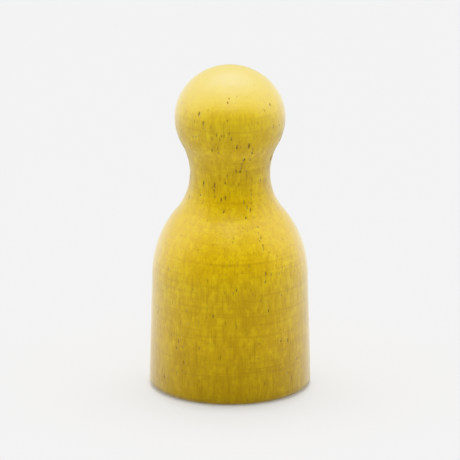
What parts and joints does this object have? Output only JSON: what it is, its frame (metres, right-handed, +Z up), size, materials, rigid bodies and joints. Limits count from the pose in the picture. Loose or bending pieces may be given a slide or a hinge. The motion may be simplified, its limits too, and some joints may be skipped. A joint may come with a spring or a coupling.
{
  "type": "wooden game pawn",
  "caption": "Turned hardwood halma and ludo pawn with ball head, waisted neck and tapered body, lacquered yellow.",
  "frame": {"origin": "centre of the base circle, on the plane that the pawn stands on", "axes": "+Z up along the turning axis towards the head, +X along the shallow hollow across the base, -Y the front"},
  "size_m": [0.012, 0.012, 0.0244],
  "materials": {
    "wood": "turned hardwood, its bare end grain at the base stained yellow by the lacquer it soaked up",
    "lacquer": "thin matt yellow lacquer that lets the grain and pores show"
  },
  "bodies": {
    "root": {"turned_wood_body": "wood", "lacquer_coat": "lacquer"}
  },
  "joints": []
}
